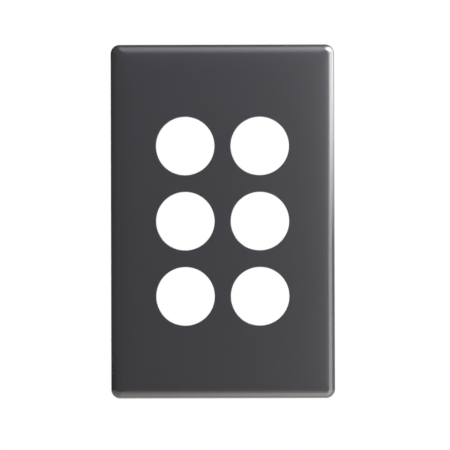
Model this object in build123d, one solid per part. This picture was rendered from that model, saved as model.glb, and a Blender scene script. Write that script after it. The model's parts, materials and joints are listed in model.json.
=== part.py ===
from build123d import *
from math import isclose, radians, tan
import os

# Clip-on cover plate for a group of round wall-switch buttons, moulded in one piece.
# All sizes are in millimetres. The plate is drawn lying on its rim, with x to the right,
# y up the wall and z out of the wall, and is stood up against the wall at the end.

# Outer form
plate_width = 76.0
plate_height = 120.0
plate_depth = 9.0
corner_radius = 3.2
edge_radius = 2.8
draft_angle = 1.5

# Walls of the moulding
face_thickness = 2.0
skirt_thickness = 1.8
rim_lead_in = 0.4
least_round = 0.4

# Button openings
columns = 2
rows = 3
column_pitch = 25.2
row_pitch = 25.4
hole_diameter = 19.7
hole_ease = 0.35
hole_lead_in = 0.5

# Grid plate behind the cover: how far its front stands from the wall, and its clipped edge
grid_front = 4.8
grid_flange = 1.6
grid_clearance = 0.1

# Collars round the openings and the ribs that join them
collar_wall = 1.4
rib_thickness = 1.2
rib_height = 1.4

# Corner pads that bear on the grid plate
pad_size = 6.0
pad_round = 1.5

# Snap catches on the inside of the skirt, two to a side
catch_length = 8.0
catch_reach = 0.8
catch_back = 0.5
catch_land = 0.4
catch_ramp = 1.2
catch_spacing_across = 36.0
catch_spacing_up = 64.0

# Notch in the lower rim, where a blade prises the cover off
notch_width = 8.0
notch_height = 1.2
notch_round = 0.5

# Sizes that follow from the ones above
draft_run = tan(radians(draft_angle))
cavity_depth = plate_depth - face_thickness
cavity_width = plate_width - 2 * skirt_thickness
cavity_height = plate_height - 2 * skirt_thickness
face_middle = plate_depth - face_thickness / 2
hole_radius = hole_diameter / 2
collar_radius = hole_radius + collar_wall
catch_hold = grid_front - grid_flange - grid_clearance


def drafted_block(inset, depth):
    """Block on the wall plane, inset from the plate's sides and narrowing with the draft."""
    width = plate_width - 2 * inset
    height = plate_height - 2 * inset
    radius = max(corner_radius - inset, 2 * least_round)
    return extrude(RectangleRounded(width, height, radius), depth, taper=draft_angle)


def round_front(block, radius):
    """Round the edges of a block's front, no more than its corners allow."""
    front = block.faces().sort_by(Axis.Z)[-1]
    corner = min(edge.radius for edge in front.edges().filter_by(GeomType.CIRCLE))
    return fillet(front.edges(), min(radius, 0.97 * corner))


def shell():
    """Face and skirt, soft on the outer edge and rounded inside so that the wall stays even."""
    outside = round_front(drafted_block(0, plate_depth), edge_radius)
    inside_round = max(edge_radius - face_thickness, least_round)
    inside = round_front(drafted_block(skirt_thickness, cavity_depth), inside_round)
    body = outside - inside
    rim = body.faces().sort_by(Axis.Z)[0]
    return chamfer(rim.inner_wires()[0].edges(), rim_lead_in)


def raised(profile, level):
    """Feature behind the face, from its free end at a level above the wall into the face."""
    return Pos(0, 0, level) * extrude(profile, face_middle - level, taper=-draft_angle)


def collars():
    """Collars that guide the buttons, from the face back to the grid plate."""
    collar = raised(Circle(collar_radius), grid_front)
    return GridLocations(column_pitch, row_pitch, columns, rows) * collar


def ribs():
    """Low ribs behind the face, through the centre of each row and column of openings."""
    level = cavity_depth - rib_height
    across = raised(Rectangle(plate_width, rib_thickness), level)
    upright = raised(Rectangle(rib_thickness, plate_height), level)
    row_ribs = GridLocations(column_pitch, row_pitch, 1, rows) * across
    column_ribs = GridLocations(column_pitch, row_pitch, columns, 1) * upright
    return row_ribs + column_ribs


def corner_pads():
    """Pads in the inner corners, level with the ends of the collars."""
    pad = raised(RectangleRounded(2 * pad_size, 2 * pad_size, pad_round), grid_front)
    return GridLocations(cavity_width, cavity_height, 2, 2) * pad


def catch(wall):
    """Catch on a skirt wall that stands this far to the right, with its ramp towards the rim."""
    inner = wall - catch_hold * draft_run
    root = wall + skirt_thickness / 2
    tip = inner - catch_reach
    land_top = catch_hold - catch_back
    land_foot = land_top - catch_land
    ramp_foot = land_foot - catch_ramp
    profile = Polygon(
        (root, catch_hold),
        (inner, catch_hold),
        (tip, land_top),
        (tip, land_foot),
        (inner, ramp_foot),
        (root, ramp_foot),
        align=None,
    )
    return extrude(Plane.XZ * profile, catch_length / 2, both=True)


def catches():
    """Two catches on each of the four skirt walls."""
    side_catch = catch(cavity_width / 2)
    end_catch = catch(cavity_height / 2)
    made = []
    for turn in (0, 180):
        for place in GridLocations(0, catch_spacing_up, 1, 2):
            made.append(Rot(0, 0, turn) * place * side_catch)
        for place in GridLocations(0, catch_spacing_across, 1, 2):
            made.append(Rot(0, 0, turn + 90) * place * end_catch)
    return made


def prise_notch():
    """Cutter for the blade notch in the middle of the lower rim."""
    profile = RectangleRounded(notch_width, 2 * notch_height, notch_round)
    cutter = extrude(Plane.XZ * profile, skirt_thickness, both=True)
    return Pos(0, (skirt_thickness - plate_height) / 2, 0) * cutter


def opening_rims(body, level):
    """Sharp edges of the button openings at a level above the wall."""
    circles = [edge for edge in body.edges().filter_by(GeomType.CIRCLE) if isclose(edge.radius, hole_radius)]
    return [edge for edge in circles if isclose(edge.arc_center.Z, level, abs_tol=1e-6)]


def cut_openings(body):
    """Cut the button openings, eased at the face and with a lead-in at the back."""
    hole = Cylinder(hole_radius, 3 * plate_depth)
    body -= GridLocations(column_pitch, row_pitch, columns, rows) * hole
    body = chamfer(opening_rims(body, plate_depth), hole_ease)
    return chamfer(opening_rims(body, grid_front), hole_lead_in)


def cover_plate():
    """The whole moulding, lying on its rim."""
    core = drafted_block(skirt_thickness / 2, face_middle)
    behind = [feature & core for feature in (*collars(), *ribs(), *corner_pads())]
    body = shell() + behind + catches()
    return cut_openings(body) - prise_notch()


os.makedirs("parts", exist_ok=True)
cover = Plane.XZ * cover_plate()
cover.label = "cover_plate"
export_step(cover, "parts/cover_plate.step")
print("cover_plate", cover.is_valid, round(cover.volume), cover.bounding_box())
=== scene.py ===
import json
import math

import bmesh
import bpy
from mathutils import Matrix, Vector


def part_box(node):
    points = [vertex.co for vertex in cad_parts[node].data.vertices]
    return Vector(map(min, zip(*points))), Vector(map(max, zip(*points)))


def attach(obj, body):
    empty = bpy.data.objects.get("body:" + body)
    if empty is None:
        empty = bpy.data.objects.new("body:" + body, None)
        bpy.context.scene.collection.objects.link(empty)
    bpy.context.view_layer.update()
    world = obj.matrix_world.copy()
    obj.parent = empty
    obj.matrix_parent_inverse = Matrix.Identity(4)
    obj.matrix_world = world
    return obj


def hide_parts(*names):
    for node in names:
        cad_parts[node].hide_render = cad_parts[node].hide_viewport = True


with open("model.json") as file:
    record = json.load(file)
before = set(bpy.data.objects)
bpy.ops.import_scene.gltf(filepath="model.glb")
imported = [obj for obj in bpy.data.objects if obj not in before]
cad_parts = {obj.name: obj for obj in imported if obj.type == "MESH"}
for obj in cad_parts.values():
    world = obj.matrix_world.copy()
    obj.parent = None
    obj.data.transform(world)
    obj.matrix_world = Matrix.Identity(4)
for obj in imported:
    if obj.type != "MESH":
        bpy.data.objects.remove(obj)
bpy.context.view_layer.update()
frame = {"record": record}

# A moulded cover plate for round wall-switch buttons, upright with its front towards -Y.
# Lengths are in metres, and MM turns millimetres into metres.
MM = 0.001

# Sizes that the frame gives
plate_low, plate_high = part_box("cover_plate")
plate_width = plate_high.x - plate_low.x
plate_height = plate_high.z - plate_low.z
plate_depth = plate_high.y - plate_low.y
openings = [mount for mount in frame["record"]["mounts"] if mount["kind"] == "bore"]
hole_radius = openings[0]["dims"]["r_mm"] * MM
hole_places = [(mount["pos_m"][0], mount["pos_m"][2]) for mount in openings]
column_places = sorted({x for x, z in hole_places})
row_places = sorted({z for x, z in hole_places})

# Outer corners, and the soft front edge that blends into the face and runs out in it
corner_radius = 3.2 * MM
corner_ease = 1.3 * MM
edge_radius = 2.8 * MM
blend_length = 1.5 * MM
blend_tilt = math.radians(6)
run_out_length = 8.5 * MM
run_out_tilt = math.radians(6.5)
run_out_corner = 9.0 * MM

# Walls and openings
draft_angle = math.radians(1.5)
face_thickness = 2.0 * MM
skirt_thickness = 1.8 * MM
rim_lead_in = 0.4 * MM
hole_round = 0.25 * MM
hole_lead_in = 0.5 * MM

# Collars and corner pads, which end at the front of the grid plate, and low ribs
grid_front = 4.8 * MM
collar_wall = 1.4 * MM
rib_thickness = 1.2 * MM
rib_height = 1.4 * MM
pad_size = 6.0 * MM
pad_round = 1.5 * MM

# Snap catches on the inside of the skirt, two to a side
catch_length = 8.0 * MM
catch_reach = 0.8 * MM
catch_hold = 3.1 * MM
catch_back = 0.5 * MM
catch_land = 0.4 * MM
catch_ramp = 1.2 * MM
catch_ease = 0.5 * MM
catch_bury = 0.3 * MM
catch_across = 18 * MM
catch_up = 32 * MM

# Notch in the lower rim, where a blade prises the cover off
notch_width = 8.0 * MM
notch_height = 1.2 * MM
notch_round = 0.5 * MM

# Marks that the ejector pins leave behind the face
ejector_radius = 2.0 * MM
ejector_depth = 0.12 * MM
ejector_across = 27 * MM
ejector_up = (-46 * MM, -12.7 * MM, 12.7 * MM, 46 * MM)

# Sizes that follow from the ones above
draft_slope = math.tan(draft_angle)
cavity_corner = corner_radius - skirt_thickness
cavity_half_width = plate_width / 2 - skirt_thickness
cavity_half_height = plate_height / 2 - skirt_thickness
cavity_depth = plate_depth - face_thickness
cavity_edge = edge_radius - face_thickness
face_middle = plate_depth - face_thickness / 2
blend_fall = blend_tilt * blend_length / 2
run_out_fall = run_out_tilt * run_out_length / 3
catch_end_reach = catch_reach / 3
notch_reach = 1.5 * skirt_thickness

# How finely curves are cut, and how far a cutter reaches past what it cuts
corner_steps = 20
edge_steps = 16
run_out_steps = 16
hole_steps = 120
hole_round_steps = 6
pad_steps = 8
notch_steps = 6
mark_steps = 40
cutter_spare = 0.5 * MM

# Edges sharper than this stay crisp, and large faces lead the shading this much
sharp_angle = math.radians(28)
large_face_weight = 100

# Faces take their finish by this number
SMOOTH, MATT = 0, 1

# Fine finish of the plastic
lacquer_roughness = 0.12
grain_detail = 3
clouds_per_metre = 90
cloud_detail = 5

# Floor, well below the plate
floor_level = -0.30
floor_front = -0.58
floor_reach = 1.5
floor_colour = (0.72, 0.70, 0.685)
floor_darker = (0.68, 0.66, 0.645)
floor_glow = (0.58, 0.56, 0.55)
floor_roughness = 0.7
speckles_across_floor = 40
speckle_detail = 2

# Colours of the light
neutral = (1, 1, 1)
cool = (1.01, 1, 1.15)
warm = (1.20, 1, 0.92)

# Strips of light close to the plate: upright ones at its right, and one below that meets them
strips_right = 0.062
strips_left = -0.04
strips_foot = -0.115
strips_top = 0.10
table_strip_front = -0.0595
table_strip_back = -0.0045

# Light from all round, the card behind the plate that its gloss shows white, and the back lamp
fill_brightness = 0.0475
card_half_angle = math.radians(30)
back_light_spread = math.radians(80)

# Camera in front with a long lens, a little below the plate and looking slightly up
picture_pixels = 450
pixels_per_metre = 2947
camera_distance = 1.8
camera_below = 0.044
camera_roll = math.radians(0.15)

# Place of the plate in the picture, in pixels from the centre
plate_pixels_right = -1.95
plate_pixels_up = 3.3

# Sockets of a node that mixes two colours
MIX_SHARE, MIX_FROM, MIX_TO, MIX_RESULT = 0, 6, 7, 2


# Parts of materials
def noise(nodes, scale, detail):
    """Node of soft noise, as fine as its scale says."""
    node = nodes.new("ShaderNodeTexNoise")
    node.inputs["Scale"].default_value = scale
    node.inputs["Detail"].default_value = detail
    return node


def colour_between(nodes, links, share, start, end):
    """Colour that goes from start to end as an output goes from 0 to 1."""
    mix = nodes.new("ShaderNodeMix")
    mix.data_type = "RGBA"
    mix.inputs[MIX_FROM].default_value = (*start, 1)
    mix.inputs[MIX_TO].default_value = (*end, 1)
    links.new(share, mix.inputs[MIX_SHARE])
    return mix.outputs[MIX_RESULT]


def calculated(nodes, links, operation, first, second):
    """Output of a node that calculates with two other outputs."""
    node = nodes.new("ShaderNodeMath")
    node.operation = operation
    links.new(first, node.inputs[0])
    links.new(second, node.inputs[1])
    return node.outputs[0]


# Finishes
def moulded_plastic(name, colour, darker, roughness, roughness_spread, grain_size, grain_height, lacquer):
    """Grey plastic with a fine grain, slight unevenness in colour and gloss, and lacquer from 0 to 1."""
    material = bpy.data.materials.new(name)
    material.use_nodes = True
    nodes = material.node_tree.nodes
    links = material.node_tree.links
    shader = nodes["Principled BSDF"]
    shader.inputs["Coat Weight"].default_value = lacquer
    shader.inputs["Coat Roughness"].default_value = lacquer_roughness
    place = nodes.new("ShaderNodeTexCoord").outputs["Object"]

    grain = noise(nodes, 1 / grain_size, grain_detail)
    links.new(place, grain.inputs["Vector"])
    bump = nodes.new("ShaderNodeBump")
    bump.inputs["Strength"].default_value = 1
    bump.inputs["Distance"].default_value = grain_height
    links.new(grain.outputs["Fac"], bump.inputs["Height"])
    links.new(bump.outputs["Normal"], shader.inputs["Normal"])

    cloud = noise(nodes, clouds_per_metre, cloud_detail)
    links.new(place, cloud.inputs["Vector"])
    tint = colour_between(nodes, links, cloud.outputs["Fac"], darker, colour)
    links.new(tint, shader.inputs["Base Color"])

    gloss = nodes.new("ShaderNodeMapRange")
    gloss.inputs["To Min"].default_value = roughness - roughness_spread
    gloss.inputs["To Max"].default_value = roughness + roughness_spread
    links.new(grain.outputs["Fac"], gloss.inputs["Value"])
    links.new(gloss.outputs["Result"], shader.inputs["Roughness"])
    return material


smooth_plastic = moulded_plastic(
    "smooth_plastic",
    colour=(0.0395, 0.039, 0.041),
    darker=(0.0365, 0.036, 0.038),
    roughness=0.42,
    roughness_spread=0.04,
    grain_size=0.5 * MM,
    grain_height=0.0006 * MM,
    lacquer=1,
)
matt_plastic = moulded_plastic(
    "matt_plastic",
    colour=(0.060, 0.059, 0.062),
    darker=(0.052, 0.051, 0.054),
    roughness=0.55,
    roughness_spread=0.06,
    grain_size=0.25 * MM,
    grain_height=0.01 * MM,
    lacquer=0,
)


# Shapes: a loop is a closed ring of (x, height above the wall, z)
def rounded_rectangle(half_width, half_height, radius, height=0, steps=corner_steps, x=0, z=0):
    """Loop round a rectangle with round corners."""
    loop = []
    for side_x, side_z, start in ((1, 1, 0), (-1, 1, 90), (-1, -1, 180), (1, -1, 270)):
        centre_x = x + side_x * (half_width - radius)
        centre_z = z + side_z * (half_height - radius)
        for step in range(steps + 1):
            turn = math.radians(start + 90 * step / steps)
            loop.append((centre_x + radius * math.cos(turn), height, centre_z + radius * math.sin(turn)))
    return loop


def rectangle(half_width, half_height, x=0, z=0):
    """Loop on the wall round a rectangle with sharp corners."""
    sides = ((1, 1), (-1, 1), (-1, -1), (1, -1))
    return [(x + side_x * half_width, 0, z + side_z * half_height) for side_x, side_z in sides]


def circle(x, z, radius, height=0, steps=hole_steps):
    """Loop round a circle."""
    turns = [2 * math.pi * step / steps for step in range(steps)]
    return [(x + radius * math.cos(turn), height, z + radius * math.sin(turn)) for turn in turns]


def solid(name, loops, finish):
    """Closed mesh through a stack of loops of equal length, capped at both ends."""
    mesh = bmesh.new()
    rings = [[mesh.verts.new((x, -height, z)) for x, height, z in loop] for loop in loops]
    for lower, upper in zip(rings, rings[1:]):
        for here in range(len(lower)):
            mesh.faces.new((lower[here - 1], lower[here], upper[here], upper[here - 1]))
    mesh.faces.new(rings[0])
    mesh.faces.new(rings[-1])
    bmesh.ops.recalc_face_normals(mesh, faces=mesh.faces)
    for face in mesh.faces:
        face.material_index = finish
    data = bpy.data.meshes.new(name)
    mesh.to_mesh(data)
    mesh.free()
    data.materials.append(smooth_plastic)
    data.materials.append(matt_plastic)
    piece = bpy.data.objects.new(name, data)
    bpy.context.scene.collection.objects.link(piece)
    return piece


def prism(name, outline, low, high):
    """Matt solid with the outline of a loop, between two heights above the wall."""
    return solid(name, [[(x, height, z) for x, _, z in outline] for height in (low, high)], MATT)


def combine(body, operation, *tools):
    """Join the tools to the body, cut them from it or keep what they share, and take the tools away."""
    for tool in tools:
        step = body.modifiers.new("combine", "BOOLEAN")
        step.object = tool
        step.operation = operation
        step.solver = "MANIFOLD"
        evaluated = body.evaluated_get(bpy.context.evaluated_depsgraph_get())
        result = bpy.data.meshes.new_from_object(evaluated)
        body.modifiers.remove(step)
        body.data = result
        bpy.data.objects.remove(tool)
    return body


# The moulding
def drafted_block(name, inset, corner, depth, edge, finish, soft=False):
    """Block that narrows with the draft and has a round front edge. A soft edge runs out in the face."""
    half_width = plate_width / 2 - inset
    half_height = plate_height / 2 - inset
    last_tilt = run_out_tilt + blend_tilt if soft else 0
    fall = run_out_fall + blend_fall if soft else 0
    ease = corner_ease if soft else 0
    round_height = depth - fall - edge * math.cos(last_tilt)
    round_inset = (edge + round_height * math.sin(draft_angle)) / math.cos(draft_angle)
    loops = [rounded_rectangle(half_width, half_height, corner)]
    for step in range(edge_steps + 1):
        turn = draft_angle + (math.pi / 2 - last_tilt - draft_angle) * step / edge_steps
        narrower = round_inset - edge * math.cos(turn)
        height = round_height + edge * math.sin(turn)
        radius = corner - narrower + ease * (narrower / round_inset) ** 2
        loops.append(rounded_rectangle(half_width - narrower, half_height - narrower, radius, height))
    if soft:
        last_corner = radius
        for step in range(1, run_out_steps + 1):
            part = (step / run_out_steps) ** 2
            along = run_out_length * part
            inner = narrower + along
            radius = last_corner + (run_out_corner - last_corner) * part
            height = depth - run_out_fall * (1 - part) ** 3
            height -= blend_fall * max(0, 1 - along / blend_length) ** 2
            loops.append(rounded_rectangle(half_width - inner, half_height - inner, radius, height))
    return solid(name, loops, finish)


def cavity():
    """Space behind the face, with the lead-in at its mouth."""
    block = drafted_block("cavity", skirt_thickness, cavity_corner, cavity_depth, cavity_edge, MATT)
    loops = []
    for height in (-rim_lead_in, rim_lead_in):
        wider = rim_lead_in - height
        half_width = cavity_half_width + wider
        half_height = cavity_half_height + wider
        loops.append(rounded_rectangle(half_width, half_height, cavity_corner + wider, height))
    return combine(block, "UNION", solid("mouth", loops, MATT))


def collars():
    """Collars round the openings, from the grid plate into the face."""
    outer_radius = hole_radius + collar_wall
    return [prism("collar", circle(x, z, outer_radius), grid_front, face_middle) for x, z in hole_places]


def ribs():
    """Low ribs behind the face, through the centre of each row and column of openings."""
    outlines = [rectangle(plate_width / 2, rib_thickness / 2, z=z) for z in row_places]
    outlines += [rectangle(rib_thickness / 2, plate_height / 2, x=x) for x in column_places]
    return [prism("rib", outline, cavity_depth - rib_height, face_middle) for outline in outlines]


def corner_pads():
    """Pads in the inner corners, level with the ends of the collars."""
    made = []
    for side_x in (-1, 1):
        for side_z in (-1, 1):
            x = side_x * cavity_half_width
            z = side_z * cavity_half_height
            outline = rounded_rectangle(pad_size, pad_size, pad_round, steps=pad_steps, x=x, z=z)
            made.append(prism("pad", outline, grid_front, face_middle))
    return made


def behind_face():
    """Collars, ribs and corner pads, kept inside the walls."""
    first, *others = collars() + ribs() + corner_pads()
    inset = skirt_thickness / 2
    core = drafted_block("core", inset, corner_radius - inset, face_middle, edge_radius - inset, MATT)
    return combine(combine(first, "UNION", *others), "INTERSECT", core)


def quarter_turned(x, z, quarters):
    """Place turned about the plate's centre by quarter turns."""
    for _ in range(quarters):
        x, z = -z, x
    return x, z


def catch(wall, along, quarters):
    """Snap catch on a skirt wall, with its ramp towards the rim and eased ends."""
    inner = wall - catch_hold * draft_slope
    root = wall + skirt_thickness / 2
    land_top = catch_hold - catch_back
    land_foot = land_top - catch_land
    ramp_foot = land_foot - catch_ramp
    half = catch_length / 2
    loops = []
    for end, reach in (
        (-half, catch_end_reach),
        (catch_ease - half, catch_reach),
        (half - catch_ease, catch_reach),
        (half, catch_end_reach),
    ):
        tip = inner - reach
        buried_top = catch_hold + catch_bury * catch_back / reach
        profile = (
            (root, buried_top),
            (inner + catch_bury, buried_top),
            (tip, land_top),
            (tip, land_foot),
            (inner, ramp_foot),
            (root, ramp_foot),
        )
        loop = []
        for x, height in profile:
            turned_x, turned_z = quarter_turned(x, along + end, quarters)
            loop.append((turned_x, height, turned_z))
        loops.append(loop)
    return solid("catch", loops, MATT)


def catches():
    """Two catches on each of the four skirt walls."""
    made = []
    for side in (-1, 1):
        for quarters in (0, 2):
            made.append(catch(cavity_half_width, side * catch_up, quarters))
        for quarters in (1, 3):
            made.append(catch(cavity_half_height, side * catch_across, quarters))
    return made


def opening(x, z):
    """Cutter for a button opening, round at the face and with a lead-in at the back."""
    loops = [
        circle(x, z, hole_radius + hole_lead_in + cutter_spare, grid_front - cutter_spare),
        circle(x, z, hole_radius, grid_front + hole_lead_in),
    ]
    for step in range(hole_round_steps + 1):
        turn = math.pi / 2 * step / hole_round_steps
        radius = hole_radius + hole_round * (1 - math.cos(turn))
        loops.append(circle(x, z, radius, plate_depth - hole_round + hole_round * math.sin(turn)))
    loops.append(circle(x, z, hole_radius + hole_round, plate_depth + cutter_spare))
    return solid("opening", loops, SMOOTH)


def prise_notch():
    """Cutter for the blade notch in the middle of the lower rim."""
    profile = rounded_rectangle(notch_width / 2, notch_height, notch_round, steps=notch_steps)
    lower_rim = -plate_height / 2
    ends = (lower_rim - skirt_thickness, lower_rim + notch_reach)
    return solid("notch", [[(x, height, end) for x, _, height in profile] for end in ends], MATT)


def ejector_marks():
    """Cutters for the shallow round marks behind the face."""
    made = []
    for x in (-ejector_across, ejector_across):
        for z in ejector_up:
            outline = circle(x, z, ejector_radius, steps=mark_steps)
            made.append(prism("mark", outline, cavity_depth - cutter_spare, cavity_depth + ejector_depth))
    return made


def shade_smooth(piece):
    """Smooth over the rounds, crisp at real edges, with flat faces kept flat."""
    piece.data.shade_smooth()
    piece.data.set_sharp_from_angle(angle=sharp_angle)
    weighted = piece.modifiers.new("even_normals", "WEIGHTED_NORMAL")
    weighted.keep_sharp = True
    weighted.weight = large_face_weight


cover = drafted_block("cover_plate_looks", 0, corner_radius, plate_depth, edge_radius, SMOOTH, soft=True)
combine(cover, "DIFFERENCE", cavity())
combine(cover, "UNION", behind_face(), *catches())
combine(cover, "DIFFERENCE", *[opening(x, z) for x, z in hole_places], prise_notch(), *ejector_marks())
shade_smooth(cover)
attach(cover, "root")
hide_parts("cover_plate")


# Floor
def shiny(nodes, links, ray):
    """1 for rays off gloss and through glass, and 0 for the rest."""
    return calculated(nodes, links, "MAXIMUM", ray["Is Glossy Ray"], ray["Is Transmission Ray"])


def seen_as_background(nodes, links):
    """1 for rays from the camera, off gloss and through glass, and 0 for the rest."""
    ray = nodes.new("ShaderNodeLightPath").outputs
    return calculated(nodes, links, "MAXIMUM", ray["Is Camera Ray"], shiny(nodes, links, ray))


def pale_table_top():
    """Finish that shows almost white and keeps a soft shadow."""
    material = bpy.data.materials.new("pale_floor")
    material.use_nodes = True
    nodes = material.node_tree.nodes
    links = material.node_tree.links
    shader = nodes["Principled BSDF"]
    shader.inputs["Roughness"].default_value = floor_roughness
    speckle = noise(nodes, speckles_across_floor, speckle_detail)
    tint = colour_between(nodes, links, speckle.outputs["Fac"], floor_darker, floor_colour)
    links.new(tint, shader.inputs["Base Color"])
    shader.inputs["Emission Color"].default_value = (*floor_glow, 1)
    links.new(seen_as_background(nodes, links), shader.inputs["Emission Strength"])
    return material


def pale_floor():
    """Flat floor under and behind the plate, and some way in front of it."""
    corners = (
        (-floor_reach, floor_front, floor_level),
        (floor_reach, floor_front, floor_level),
        (floor_reach, floor_reach, floor_level),
        (-floor_reach, floor_reach, floor_level),
    )
    mesh = bpy.data.meshes.new("floor")
    mesh.from_pydata(corners, [], [(0, 1, 2, 3)])
    mesh.materials.append(pale_table_top())
    floor = bpy.data.objects.new("floor", mesh)
    bpy.context.scene.collection.objects.link(floor)


pale_floor()


# Light
def softbox(name, centre, towards, width, height, brightness, colour):
    """Soft panel light. Brightness 1 is as bright as white."""
    light = bpy.data.lights.new(name, "AREA")
    light.shape = "RECTANGLE"
    light.size = width
    light.size_y = height
    light.energy = brightness * math.pi * width * height
    light.color = colour
    panel = bpy.data.objects.new(name, light)
    panel.location = centre
    panel.rotation_mode = "QUATERNION"
    panel.rotation_quaternion = (Vector(towards) - Vector(centre)).to_track_quat("-Z", "Y")
    panel.visible_camera = False
    bpy.context.scene.collection.objects.link(panel)
    return panel


def grade(panel, axis, start, end, low, high):
    """Let a panel's brightness go from low to high between two shares of its own X or Y."""
    panel.data.use_nodes = True
    nodes = panel.data.node_tree.nodes
    links = panel.data.node_tree.links
    place = nodes.new("ShaderNodeNewGeometry")
    split = nodes.new("ShaderNodeSeparateXYZ")
    links.new(place.outputs["Parametric"], split.inputs["Vector"])
    rise = nodes.new("ShaderNodeMapRange")
    rise.inputs["From Min"].default_value = start
    rise.inputs["From Max"].default_value = end
    rise.inputs["To Min"].default_value = low
    rise.inputs["To Max"].default_value = high
    links.new(split.outputs[axis], rise.inputs["Value"])
    links.new(rise.outputs["Result"], nodes["Emission"].inputs["Strength"])


def share_along(place, start, end):
    """How far a place lies on the way from start to end, where 1 is the end."""
    return (place - start) / (end - start)


def right_strip(name, front, back, start, end, low, high):
    """Upright strip at the plate's right, whose brightness goes from low to high between two heights."""
    middle = (front + back) / 2
    height = (strips_foot + strips_top) / 2
    panel = softbox(
        name,
        centre=(strips_right, middle, height),
        towards=(0, middle, height),
        width=back - front,
        height=strips_top - strips_foot,
        brightness=1,
        colour=neutral,
    )
    start_share = share_along(start, strips_foot, strips_top)
    end_share = share_along(end, strips_foot, strips_top)
    grade(panel, "Y", start_share, end_share, low, high)


def table_strip(start, end, low, high):
    """Strip below the plate, whose brightness goes from low to high between two places across."""
    across = (strips_left + strips_right) / 2
    middle = (table_strip_front + table_strip_back) / 2
    panel = softbox(
        "table_strip",
        centre=(across, middle, strips_foot),
        towards=(across, middle, 0),
        width=strips_right - strips_left,
        height=table_strip_back - table_strip_front,
        brightness=1,
        colour=warm,
    )
    # The panel's own X runs from right to left
    start_share = share_along(start, strips_right, strips_left)
    end_share = share_along(end, strips_right, strips_left)
    grade(panel, "X", start_share, end_share, low, high)


right_strip("right_side", front=-0.0295, back=-0.012, start=-0.009, end=0.033, low=2.8, high=7.2)
right_strip("right_back", front=-0.012, back=0.010, start=-0.006, end=0.045, low=0.2, high=5.9)
right_strip("right_front", front=-0.05, back=-0.0295, start=-0.009, end=0.033, low=3.0, high=0.9)
table_strip(start=strips_left, end=0.05, low=0.45, high=1.8)
softbox(
    "leaning_softbox",
    centre=(0.1425, -0.105, 0.215),
    towards=(-0.0275, -0.105, 0.10),
    width=0.21,
    height=0.205,
    brightness=4.4,
    colour=neutral,
)
softbox(
    "high_right",
    centre=(0.37, -0.37, 0.58),
    towards=(0, 0, 0),
    width=0.50,
    height=0.50,
    brightness=7.8,
    colour=cool,
)
softbox(
    "ceiling",
    centre=(0, -0.48, 0.42),
    towards=(0, -0.48, 0),
    width=0.20,
    height=0.84,
    brightness=1.42,
    colour=cool,
)
softbox(
    "left_wall",
    centre=(-0.30, -0.40, 0.175),
    towards=(0, -0.40, 0.175),
    width=1.00,
    height=0.45,
    brightness=0.18,
    colour=neutral,
)

# A lamp behind the plate, for its back alone: no gloss shows it
back_light = softbox(
    "back_softbox",
    centre=(-0.15, 0.40, 0.10),
    towards=(0, 0, 0),
    width=0.40,
    height=0.40,
    brightness=1.7,
    colour=neutral,
)
back_light.data.spread = back_light_spread
back_light.visible_glossy = False


def studio_world():
    """White for the camera, a white card behind the plate in its gloss, and dim fill elsewhere."""
    world = bpy.data.worlds.new("studio")
    world.use_nodes = True
    bpy.context.scene.world = world
    nodes = world.node_tree.nodes
    links = world.node_tree.links
    fill = nodes["Background"]
    fill.inputs["Color"].default_value = (1, 1, 1, 1)
    fill.inputs["Strength"].default_value = fill_brightness
    white = nodes.new("ShaderNodeBackground")
    white.inputs["Color"].default_value = (1, 1, 1, 1)
    white.inputs["Strength"].default_value = 1

    direction = nodes.new("ShaderNodeTexCoord")
    split = nodes.new("ShaderNodeSeparateXYZ")
    links.new(direction.outputs["Generated"], split.inputs["Vector"])
    behind = nodes.new("ShaderNodeMath")
    behind.operation = "GREATER_THAN"
    behind.inputs[1].default_value = math.cos(card_half_angle)
    links.new(split.outputs["Y"], behind.inputs[0])

    ray = nodes.new("ShaderNodeLightPath").outputs
    card_in_gloss = calculated(nodes, links, "MULTIPLY", shiny(nodes, links, ray), behind.outputs[0])
    seen_white = calculated(nodes, links, "MAXIMUM", ray["Is Camera Ray"], card_in_gloss)
    mix = nodes.new("ShaderNodeMixShader")
    links.new(seen_white, mix.inputs[0])
    links.new(fill.outputs[0], mix.inputs[1])
    links.new(white.outputs[0], mix.inputs[2])
    links.new(mix.outputs[0], nodes["World Output"].inputs["Surface"])


studio_world()


# Camera
def front_camera():
    """Camera that shows the plate at its place and size in the picture."""
    data = bpy.data.cameras.new("camera")
    data.lens = data.sensor_width * camera_distance * pixels_per_metre / picture_pixels
    camera = bpy.data.objects.new("camera", data)
    aim_across = -plate_pixels_right / pixels_per_metre
    aim_up = -plate_pixels_up / pixels_per_metre
    camera.location = (aim_across, -camera_distance, -camera_below)
    look_up = math.atan2(aim_up + camera_below, camera_distance)
    camera.rotation_euler = (math.pi / 2 + look_up, camera_roll, 0)
    bpy.context.scene.collection.objects.link(camera)
    bpy.context.scene.camera = camera


front_camera()
bpy.context.scene.view_settings.view_transform = "Standard"
